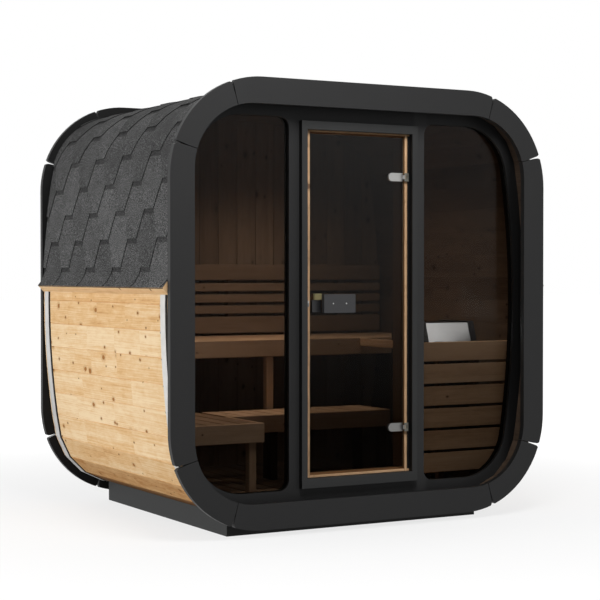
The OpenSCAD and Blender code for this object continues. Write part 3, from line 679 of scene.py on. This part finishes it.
def shingle_tab(m, side, k, n, s0, yc):
    """A whole hexagon, whose lower half lies over the course below."""
    rnd = random.Random(k * 101 + n * 7 + (3 if side > 0 else 0))
    # the tabs are darker towards the ridge: painted shade for the dimmer light on the upper roof
    tone = rnd.uniform(0.2, 0.8) - 1.2 * min(1, max(0, s0 / QUARTER_L - 0.25) / 0.5)
    cuts = [RISE * i / 4 for i in range(8)] + [2 * RISE - 24 * MM, 2 * RISE - 21.5 * MM, 2 * RISE + LAP]
    for d0, d1 in zip(cuts[:-1], cuts[1:]):
        quad = [(yc - half_width(d0), s0 + d0), (yc + half_width(d0), s0 + d0),
                (yc + half_width(d1), s0 + d1), (yc - half_width(d1), s0 + d1)]
        for axis, limit, keep_above in ((0, Y0 + 0.8 * MM, True), (0, Y1 - 0.8 * MM, False),
                                        (1, EAVE_S, True), (1, QUARTER_L, False)):
            quad = clip(quad, axis, limit, keep_above)
        if len(quad) >= 3:
            tab_piece(m, side, k, n, s0, quad, tone)


def shingle_side(side, node_name, name):
    m = Mesh()
    roof_skin(m, side)
    for k in itertools.count(-1):
        s0 = FIRST_S + RISE * (k - 1)
        if s0 >= QUARTER_L - 0.02:
            break
        for n in itertools.count(-1):
            yc = FIRST_Y + PERIOD * (n - 1) + (PERIOD / 2) * ((k - 1) % 2)
            if yc > Y1 + 0.15:
                break
            if yc >= Y0 - 0.15:
                shingle_tab(m, side, k, n, s0, yc)
    m.build(name, [SHINGLE], replaces=(node_name,), vector="sheet", slot="shingle")


def ridge_cap():
    """Cap shingles lapped from the back to the front."""
    m = Mesh()
    lo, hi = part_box("ridge_cap")
    step, cols = 0.145, 9
    for i in range(int((hi[1] - lo[1]) / step) + 1):
        y_front = lo[1] + 0.5 * MM + i * step
        y_back = min(hi[1] - 0.5 * MM, y_front + step + 0.02)
        v, g = [], []
        for j in range(cols):
            s = QUARTER_L + STAVE_W * (2 * j / (cols - 1) - 1)
            for y, up in ((y_front, 10.8 * MM), (y_back, 8.6 * MM)):
                for down in (0, 2.2 * MM):
                    x, z = ring(s, up - down)
                    v.append((x, y, CZ + z))
                    g.append((y + i * 0.7, s, up))
        f = []
        for a in range(0, 4 * (cols - 1), 4):
            b = a + 4
            f += [(a, a + 2, b + 2, b), (a + 1, b + 1, b + 3, a + 3), (a, b, b + 1, a + 1),
                  (a + 2, a + 3, b + 3, b + 2)]
        end = 4 * (cols - 1)
        f += [(0, 1, 3, 2), (end, end + 2, end + 3, end + 1)]
        # the caps' deep tone is painted shade, like that of the tabs near the ridge
        m.add(v, f, g, random.Random(i).uniform(-0.7, -0.3))
    m.build("ridge_cap_shingles", [SHINGLE], replaces=("ridge_cap",), vector="sheet", slot="shingle")


def eaves():
    """Battens under the shingles' lower edges, and a dark line on them that is a painted shadow of the
    shingles' edge.
    """
    m, eave_shadow = Mesh(), Mesh()
    lo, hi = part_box("eave_battens")
    run = TIP_Z - (lo[2] - CZ)
    tip_x, tip_z = hi[0], CZ + TIP_Z
    foot = joint(1, 0.2 * MM)
    low_x, line_h, line_t = tip_x - 0.6 * MM, 3.5 * MM, 0.4 * MM
    batten = [(tip_x, tip_z), (foot[0], CZ + foot[1]), (tip_x - run, tip_z - run)]
    # the near-black line is painted shadow under the shingles' edge
    line = [(low_x, tip_z), (low_x - line_h, tip_z - line_h),
            (low_x - line_h + line_t, tip_z - line_h - line_t), (low_x + 0.5 * MM, tip_z - 0.5 * MM)]
    for side in (-1, 1):
        prism(m, mirrored(batten, side), Y0 + 0.5 * MM, Y1 - 0.5 * MM, 77 + side, 0.35)
        prism(eave_shadow, mirrored(line, side), Y0 + 1 * MM, Y1 - 1 * MM, 79 + side, 0.5)
    m.build("eave_batten_strips", [PALE], replaces=("eave_battens",), slot="pale_wood")
    eave_shadow.build("eave_shadow_line", [DARK_MATT], slot="shingle")


shingle_side(1, "shingles_right", "shingle_tabs_right")
shingle_side(-1, "shingles_left", "shingle_tabs_left")
ridge_cap()
eaves()


# ---------------- doorway
def jamb_boards():
    """The four boards of the doorway, and dark strips in the corners behind the frame, which are painted
    shadow.
    """
    (_, y0, z0), (x1, y1, z1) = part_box("door_jamb")
    post, head, sill, strip_w, strip_t = 27.5 * MM, 8.5 * MM, 12 * MM, 13.5 * MM, 2 * MM
    m = Mesh()
    # the left board's deeper tone is painted shade from the frame in front of it
    board(m, -x1, -x1 + post, y0, y1, z0, z1, UP, 301, 0.55)
    board(m, x1 - post, x1, y0, y1, z0, z1, UP, 302, 0.08)
    board(m, -x1 + post, x1 - post, y0, y1, z1 - head, z1, ACROSS, 303, 0.35)
    board(m, -x1 + post, x1 - post, y0, y1, z0, z0 + sill, ACROSS, 304, 0.3)
    # the right-hand board is deeper towards the frame: painted shade
    for corner in (1, 2, 5, 6):
        m.tone[len(BOX_CORNERS) + corner] = 0.7
    # the faces towards the opening are a deeper brown than the edges towards the front: painted shade
    for face, part in ((3, 0), (5, 1), (0, 2), (1, 3)):
        m.mats[len(BOX_FACES) * part + face] = 1
    m.build("door_jamb_boards", [JAMB, JAMB_SIDE], bevel=1.5 * MM, replaces=("door_jamb",),
            slot="pale_wood")
    # near-black strips where the frame shades the jamb: painted shadow
    shadow_strip = Mesh()
    for x in (-x1, x1 - strip_w):
        board(shadow_strip, x, x + strip_w, y0 - 0.6 * MM, y0 + strip_t, z0 + sill, z1 - head, UP, 310, 0.5)
    shadow_strip.build("door_jamb_shadow_strip", [BEAD_PAINT], slot="paint")


jamb_boards()


# ---------------- interior boards, in millimetres
WIDE, HIGH = 1000, 2136  # past the shell, whose inside then cuts the board
BOARD_T, SLAT_T = 22, 26  # front boards and edge boards, and the benches' slats
INSIDE = [joint(k, -STAVE_T - 0.5 * MM) for k in range(STAVES)]


def depth(mm):
    """The place along y that lies some millimetres behind the front."""
    return FRONT + mm * MM


def span(x0, x1, y0, y1, z0, z1):
    """A board's limits in metres."""
    return x0 * MM, x1 * MM, depth(y0), depth(y1), z0 * MM, z1 * MM


def limits(name):
    """A CAD node's limits in millimetres, in the order of span."""
    lo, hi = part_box(name)
    sides = (lo[0], hi[0], lo[1] - FRONT, hi[1] - FRONT, lo[2], hi[2])
    return [round(side / MM, 3) for side in sides]


def within(poly):
    """The part of a convex outline (x, z about the shell's centre) inside the shell's inner flats."""
    for i, a in enumerate(INSIDE):
        d = INSIDE[(i + 1) % STAVES] - a
        out = []
        for j, p in enumerate(poly):
            q = poly[(j + 1) % len(poly)]
            hp = d[0] * (p[1] - a[1]) - d[1] * (p[0] - a[0])
            hq = d[0] * (q[1] - a[1]) - d[1] * (q[0] - a[0])
            if hp >= 0:
                out.append(p)
            if (hp >= 0) != (hq >= 0):
                t = hp / (hp - hq)
                out.append((p[0] + (q[0] - p[0]) * t, p[1] + (q[1] - p[1]) * t))
        poly = out
    return poly


def to_shell(m, x0, x1, y0, y1, z0, z1, axis, seed, tone=None, mat=0, dusk=()):
    """A board that is cut along the shell's inside."""
    low, high = z0 * MM - CZ, z1 * MM - CZ
    poly = within([(x0 * MM, low), (x1 * MM, low), (x1 * MM, high), (x0 * MM, high)])
    prism(m, [(x, CZ + z) for x, z in poly], depth(y0), depth(y1), seed, tone_of(seed, tone), axis, mat,
          [(depth(y), shade) for y, shade in dusk])


def back_wall():
    """Upright boards, stained outside like the front wall, and the tongues that close their joints."""
    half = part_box("back_wall")[1][0]
    _, _, y0, y1, _, _ = limits("back_wall")
    count, gap, tongue = 17, 2.4, 12
    pitch = 2 * half / count / MM
    m = Mesh()
    for i in range(count):
        x = -half / MM + i * pitch
        outer_face = len(m.mats) + 1
        to_shell(m, x + gap / 2, x + pitch - gap / 2, y0, y1, 0, HIGH, UP, 400 + i,
                 random.Random(i * 3 + 1).uniform(0.2, 0.9))
        m.mats[outer_face] = 1
    to_shell(m, -WIDE, WIDE, y0 + tongue, y1 - tongue, 0, HIGH, UP, 440, 0.95)
    m.build("back_wall_boards", [BACK_WALL, BACK_STAIN], bevel=2 * MM, replaces=("back_wall",),
            slot="inner_wood")


def duckboard():
    """Slats along the floor on three joists; the slats lie in the benches' shade towards the back."""
    x0, x1, y0, y1, _, top = limits("floor_duckboard")
    pitch, slat_w, slat_t, joist = 92, 80, 20, 60
    under = top - slat_t
    m = Mesh()
    for i in range(-6, 7):
        to_shell(m, i * pitch - slat_w / 2, i * pitch + slat_w / 2, y0, y1, under, top, DEEP, 500 + i,
                 dusk=((260, 0.0), (480, 0.8)))
    for y in (250, 780, 1310):
        to_shell(m, x0, x1, y, y + joist, 40, under, ACROSS, 520 + y)
    m.build("duckboard_slats", [FLOOR_WOOD], bevel=2 * MM, replaces=("floor_duckboard",),
            slot="bench_wood")


def upper_bench():
    """A front board, five slats from wall to wall on bearers, and a post whose foot is in the dark."""
    _, _, y0, y1, z0, top = limits("upper_bench")
    pitch, slat_w, bearer, post, dark_z = 120, 110, 40, 40, 497
    behind, under = y0 + BOARD_T, top - SLAT_T
    m = Mesh()
    to_shell(m, -WIDE, WIDE, y0, behind, top - 86, top, ACROSS, 540, 0.4)
    for i in range(5):
        y = behind + 6 + i * pitch
        to_shell(m, -WIDE, WIDE, y, y + slat_w, under, top, ACROSS, 541 + i)
    for x in (-960, -80, 920):
        to_shell(m, x - bearer / 2, x + bearer / 2, behind, y1, under - bearer, under, DEEP, 550 + x)
    # the post's foot below the lower bench is painted shade
    for low, high, seed, mat in ((dark_z, under, 560, 0), (z0, dark_z, 561, 1)):
        board(m, *span(-60 - post, -60, behind, behind + post, low, high), UP, seed, 0.35, mat)
    m.build("upper_bench_boards", [BENCH, BENCH_DARK], bevel=3 * MM, replaces=("upper_bench",),
            slot="bench_wood")


def lower_bench():
    """An L: an arm along the left wall, and a seat in front of the upper bench."""
    _, x1, y0, y1, z0, top = limits("lower_bench")
    left, corner, seat_y = -935, -480, 500
    gap, post, skirt = 11, 40, top - 85
    under = top - SLAT_T
    rest = under - post
    m = Mesh()
    # the arm: front board, edge board and slats
    to_shell(m, -WIDE, corner, y0, y0 + BOARD_T, top - 90, top, ACROSS, 570, 0.1)
    board(m, *span(corner - BOARD_T, corner, y0 + BOARD_T, seat_y + BOARD_T, skirt, top), DEEP, 571, 0.5)
    pitch = (corner - BOARD_T - left) / 5
    for i in range(5):
        x = left + i * pitch
        to_shell(m, x, x + pitch - gap, y0 + BOARD_T, y1, under, top, DEEP, 572 + i, mat=1)
    # the seat: front board, end board and slats
    board(m, *span(corner, x1, seat_y, seat_y + BOARD_T, skirt, top), ACROSS, 580, 0.45, mat=1)
    board(m, *span(x1 - BOARD_T, x1, seat_y + BOARD_T, y1, skirt, top), DEEP, 581)
    pitch = (x1 - BOARD_T - corner) / 10
    for i in range(10):
        x = corner + i * pitch
        board(m, *span(x, x + pitch - gap, seat_y + BOARD_T, y1, under, top), DEEP, 582 + i)
    # bearers, and the posts under them
    arm_y, seat_ys = 190, (540, 770)
    to_shell(m, -WIDE, corner - BOARD_T, arm_y, arm_y + post, rest, under, ACROSS, 595)
    for y in seat_ys:
        to_shell(m, -WIDE, x1 - BOARD_T, y, y + post, rest, under, ACROSS, 596 + y)
    board(m, *span(-540, -502.5, arm_y, arm_y + post, z0, rest), UP, 599, 0.35)
    # the seat's posts are painted shade
    for x in (-110, x1 - post):
        for y in seat_ys:
            board(m, *span(x, x + post, y, y + post, z0, rest), UP, 600 + round(x) + y, mat=2)
    m.build("lower_bench_boards", [BENCH, BENCH_LOW, BENCH_DARK], bevel=3 * MM,
            replaces=("lower_bench",), slot="bench_wood")


def backrest():
    """Five rails on three uprights."""
    x0, x1, y0, y1, z0, z1 = limits("backrest")
    gap, upright = 17, 44
    m = Mesh()
    z = z0
    for i, height in enumerate((90, 44, 44, 44, 85)):
        board(m, *span(x0, x1, y0, y0 + BOARD_T, z, z + height), ACROSS, 620 + i)
        z += height + gap
    for x in (-700, 0, 700):
        board(m, *span(x - upright / 2, x + upright / 2, y0 + BOARD_T, y1, z0, z1), UP, 630 + x)
    m.build("backrest_boards", [BACKREST], bevel=3 * MM, replaces=("backrest",), slot="bench_wood")


def heater_guard():
    """Six boards on two posts, and a rail that runs back beside the heater."""
    x0, _, y0, y1, z0, top = limits("heater_guard")
    pitch, board_w, post, rail = 111, 95, 36, 40
    behind = y0 + BOARD_T
    m = Mesh()
    for i in range(6):
        z = top - pitch * i
        to_shell(m, x0, WIDE, y0, behind, z - board_w, z, ACROSS, 640 + i)
    # the posts behind the boards are painted shade
    for x, foot in ((555, z0), (767, 40)):
        to_shell(m, x, x + post, behind, behind + post, foot, top, UP, 650 + x, 0.5, mat=1)
    board(m, *span(x0, x0 + BOARD_T, behind, y1, top - rail, top), DEEP, 660, 0.4)
    m.build("heater_guard_boards", [GUARD, BENCH_DARK], bevel=3 * MM, replaces=("heater_guard",),
            slot="bench_wood")


back_wall()
duckboard()
upper_bench()
lower_bench()
backrest()
heater_guard()

# ---------------- straps
STRAPS = ("strap_front", "strap_back")
UNDER_ROOF = range(1, STAVES // 2 - 1)  # the staves on which the shingles cover the straps
STRAP_FACES = [(2, 6, 7, 3), (0, 1, 5, 4), (0, 2, 3, 1), (4, 5, 7, 6), (0, 4, 6, 2), (1, 3, 7, 5)]


def hoop(m, y0, y1, proud):
    """A flat band round the shell, which lies against the staves under the shingles."""
    for k in range(STAVES):
        heights = (-2 * MM, 0.2 * MM) if k in UNDER_ROOF else (0.3 * MM, proud)
        section = [joint(k + i, off) for off in heights for i in (0, 1)]
        v = [(p[0], y, CZ + p[1]) for y in (y0, y1) for p in section]
        g = [(y, p[0], p[1]) for y in (y0, y1) for p in section]
        m.add(v, STRAP_FACES, g)


def strap(name):
    """A galvanised band, and a dark strip that shows just in front of it."""
    lo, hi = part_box(name)
    proud = hi[0] - HALF
    back, band = Mesh(), Mesh()
    # a dark strip under the band that reaches 17 mm in front of it
    hoop(back, lo[1] - 17 * MM, hi[1] - 1 * MM, proud - 1.5 * MM)
    hoop(band, lo[1], hi[1], proud)
    back.build(name + "_backing", [DARK_MATT], slot="strap")
    band.build(name + "_band", [GALVANISED], replaces=(name,), slot="strap")


def screw(m, s, y):
    """A screw head on the shell, its foot sunk into the stave."""
    sides, sunk, proud = 8, 0.5 * MM, 1.8 * MM
    foot, tip = ring(s, -sunk), ring(s, proud)
    out_x, out_z = ((b - a) / (sunk + proud) for a, b in zip(foot, tip))
    turns = [2 * math.pi * i / sides for i in range(sides)]
    v = [(x - out_z * r * math.sin(a), y + r * math.cos(a), CZ + z + out_x * r * math.sin(a))
         for (x, z), r in ((foot, 4.5 * MM), (tip, 3.8 * MM)) for a in turns]
    f = [(i, (i + 1) % sides, sides + (i + 1) % sides, sides + i) for i in range(sides)]
    m.add(v, f + [tuple(range(sides - 1, -1, -1)), tuple(range(sides, 2 * sides))], v)


def strap_screws():
    """Screws along both edges of the straps, one in each stave beside its joint."""
    m = Mesh()
    beside = 5.5 * MM
    edges = [y for lo, hi in map(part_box, STRAPS) for y in (lo[1] - beside, hi[1] + beside)]
    for y in edges:
        if Y0 + 6 * MM < y < Y1 - 6 * MM:
            for k in range(UNDER_ROOF.stop, STAVES + 1):
                screw(m, k * STAVE_W + 6 * MM, y)
    m.build("strap_screws", [DARK_MATT], slot="strap")


for name in STRAPS:
    strap(name)
strap_screws()


# ---------------- small parts of the door
def leaf_edges():
    """The leaf's polished edges."""
    (x0, y0, z0), (x1, y1, z1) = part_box("door_glass")
    proud, skin, chamfer = 0.1 * MM, 0.4 * MM, 0.6 * MM
    m = Mesh()
    for left, right, low, high in ((x0 - proud, x0 + skin, z0, z1), (x1 - skin, x1 + proud, z0, z1),
                                   (x0, x1, z0 - proud, z0 + skin), (x0, x1, z1 - skin, z1 + proud)):
        board(m, left, right, y0 + chamfer, y1 - chamfer, low, high, UP, 700, 0.5)
    m.build("door_glass_edges", [GLASS_EDGE], body="door", slot="glass")


def handle_screws():
    """Two rounded screw heads on the handle's plate."""
    lo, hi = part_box("door_handle")
    z_mid = (lo[2] + hi[2]) / 2
    sides = 24
    # each ring's radius and its depth behind the plate's face
    rings = ((3.5 * MM, 1 * MM), (3.5 * MM, -0.5 * MM), (2.7 * MM, -1.2 * MM), (1.2 * MM, -1.4 * MM))
    turns = [2 * math.pi * i / sides for i in range(sides)]
    last = sides * (len(rings) - 1)
    f = [(j + i, j + (i + 1) % sides, j + sides + (i + 1) % sides, j + sides + i)
         for j in range(0, last, sides) for i in range(sides)]
    f += [tuple(range(last, last + sides)), tuple(range(sides - 1, -1, -1))]
    m = Mesh()
    for part in (0.29, 0.71):
        x_mid = lo[0] + part * (hi[0] - lo[0])
        v = [(x_mid + r * math.cos(a), lo[1] + d, z_mid + r * math.sin(a)) for r, d in rings for a in turns]
        m.add(v, f, v)
    m.build("handle_screws", [SCREW], body="door", slot="satin_steel")


leaf_edges()
handle_screws()


# ---------------- CAD pieces that keep their shape
# each piece's material, and how wide its round edges are in millimetres
CAD_PIECES = {
    "door_frame": (FRAME_PAINT, 1.2), "window_panes": (PANE, 0), "window_beads": (BEAD_PAINT, 2),
    "base_side_beams": (BASE_STAIN, 3), "base_cross_beams": (BASE_STAIN, 3),
    "hinge_brackets": (HINGE_STEEL, 0.8), "latch_catch": (SATIN, 0.8),
    "heater_body": (BLACK_STEEL, 3), "heater_panel": (HEATER_STEEL, 1),
    "door_glass": (LEAF, 0.8), "door_clamps": (SATIN, 1.2), "door_handle": (HANDLE_GREY, 1.5),
    "latch_body": (LATCH_BLACK, 1), "latch_grip": (GRIP, 0.6)}


def finish(name, mat, bevel):
    """Gives a CAD piece its material and softens its edges."""
    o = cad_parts[name]
    if not o.material_slots:
        o.data.materials.append(None)
    for s in o.material_slots:
        s.material = mat
    if bevel:
        soften(o, bevel, 40)


for part in ("rails", "sides", "corners"):
    finish("front_fascia_" + part, CHARCOAL, 2.5 * MM)
    finish("back_fascia_" + part, BACK_CHARCOAL, 2.5 * MM)
for part in ("left", "right", "middle"):
    finish("front_wall_" + part, WALL_PAINT, 1 * MM)
for name, (mat, edge) in CAD_PIECES.items():
    finish(name, mat, edge * MM)


# ---------------- studio
def seen_directly(nt):
    """1 for what the camera sees, also through glass or in a mirror; 0 for light on its way."""
    lp = node(nt, "LightPath").outputs
    seen = math_node(nt, "MAXIMUM", lp["Is Camera Ray"], lp["Is Transmission Ray"])
    return math_node(nt, "MAXIMUM", seen, lp["Is Glossy Ray"])


def studio_floor():
    """A wide floor that looks white and keeps a faint shade under the sauna."""
    reach = 60
    corners = [(-reach, -reach, 0), (reach, -reach, 0), (reach, reach, 0), (-reach, reach, 0)]
    me = bpy.data.meshes.new("studio_floor")
    me.from_pydata(corners, [], [(0, 1, 2, 3)])
    floor = bpy.data.objects.new("studio_floor", me)
    bpy.context.scene.collection.objects.link(floor)
    m, nt = material("studio_floor_white")
    matt = node(nt, "BsdfDiffuse", {"Color": (0.20, 0.20, 0.20, 1)})
    away = node(nt, "VectorMath", {0: place(nt)}, operation="LENGTH")
    glow = math_node(nt, "MULTIPLY_ADD", away.outputs["Value"], 0.055, 0.72)
    glow = math_node(nt, "MULTIPLY", seen_directly(nt), math_node(nt, "MINIMUM", glow, 1.0))
    light = node(nt, "Emission", {"Color": (1, 1, 1, 1), "Strength": glow})
    surface(nt, node(nt, "AddShader", {0: matt.outputs[0], 1: light.outputs[0]}))
    me.materials.append(m)


def studio_world():
    """White where it is seen; its light is brighter from the left, dimmer from the front and above."""
    scene = bpy.context.scene
    scene.world = scene.world or bpy.data.worlds.new("studio")
    scene.world.use_nodes = True
    nt = scene.world.node_tree
    for n in list(nt.nodes):
        nt.nodes.remove(n)
    side = xyz(nt, node(nt, "TexCoord").outputs["Generated"])
    light = math_node(nt, "MULTIPLY_ADD", side[0], -0.24, 0.40)
    light = math_node(nt, "MULTIPLY_ADD", side[2], -0.32, light)
    light = math_node(nt, "MULTIPLY_ADD", side[1], 0.18, light, clamp=True)
    strength = math_node(nt, "MAXIMUM", seen_directly(nt), light)
    sky = node(nt, "Background", {"Color": (1, 1, 1, 1), "Strength": strength})
    node(nt, "OutputWorld", {"Surface": sky.outputs[0]})


def lamp(name, at, target, size, power, colour=(1, 1, 1)):
    d = bpy.data.lights.new(name, "AREA")
    d.shape = "RECTANGLE"
    d.size, d.size_y = size
    d.energy = power
    d.color = colour
    o = bpy.data.objects.new(name, d)
    o.location = at
    o.rotation_euler = (Vector(target) - Vector(at)).to_track_quat("-Z", "Y").to_euler()
    bpy.context.scene.collection.objects.link(o)
    return o


def lamps():
    """Large lamps round the sauna, and two small ones inside that the camera does not see."""
    wide = (2.6, 1.4)
    lamp("key_left", (-5.8, 0.0, 0.8), (0, 0, 0.9), wide, 167)
    lamp("fill_front", (-0.8, -2.9, 3.9), (0, -0.8, 1.4), (1.5, 1.5), 106)
    lamp("fill_right", (5.8, 1.4, 1.3), (0, 0.3, 0.9), wide, 100)
    lamp("fill_back", (1.0, 6.0, 1.5), (0, 0.4, 1.0), wide, 100)
    soft = lamp("inside_soft", (-0.05, depth(720), 1.93), (-0.05, depth(840), 0), (1.3, 0.5), 9,
                (1.0, 0.87, 0.73))
    soft.data.spread = math.radians(125)
    glint = lamp("heater_glint", (0.79, depth(165), 1.08), (0.68, depth(310), 0.93), (0.34, 0.24), 0.24)
    for o in (soft, glint):
        o.visible_camera = False


def camera():
    """Looks at the sauna from its front left, from a little above the middle of the door."""
    d = bpy.data.cameras.new("camera")
    d.lens = 96.94
    d.sensor_width = 36
    o = bpy.data.objects.new("camera", d)
    o.location = (-4.0466, FRONT - 6.4746, 1.2105)
    o.rotation_euler = (math.pi / 2 - 0.0169, 0, -0.5158)
    bpy.context.scene.collection.objects.link(o)
    bpy.context.scene.camera = o


studio_floor()
studio_world()
lamps()
camera()
bpy.context.scene.view_settings.view_transform = "Standard"
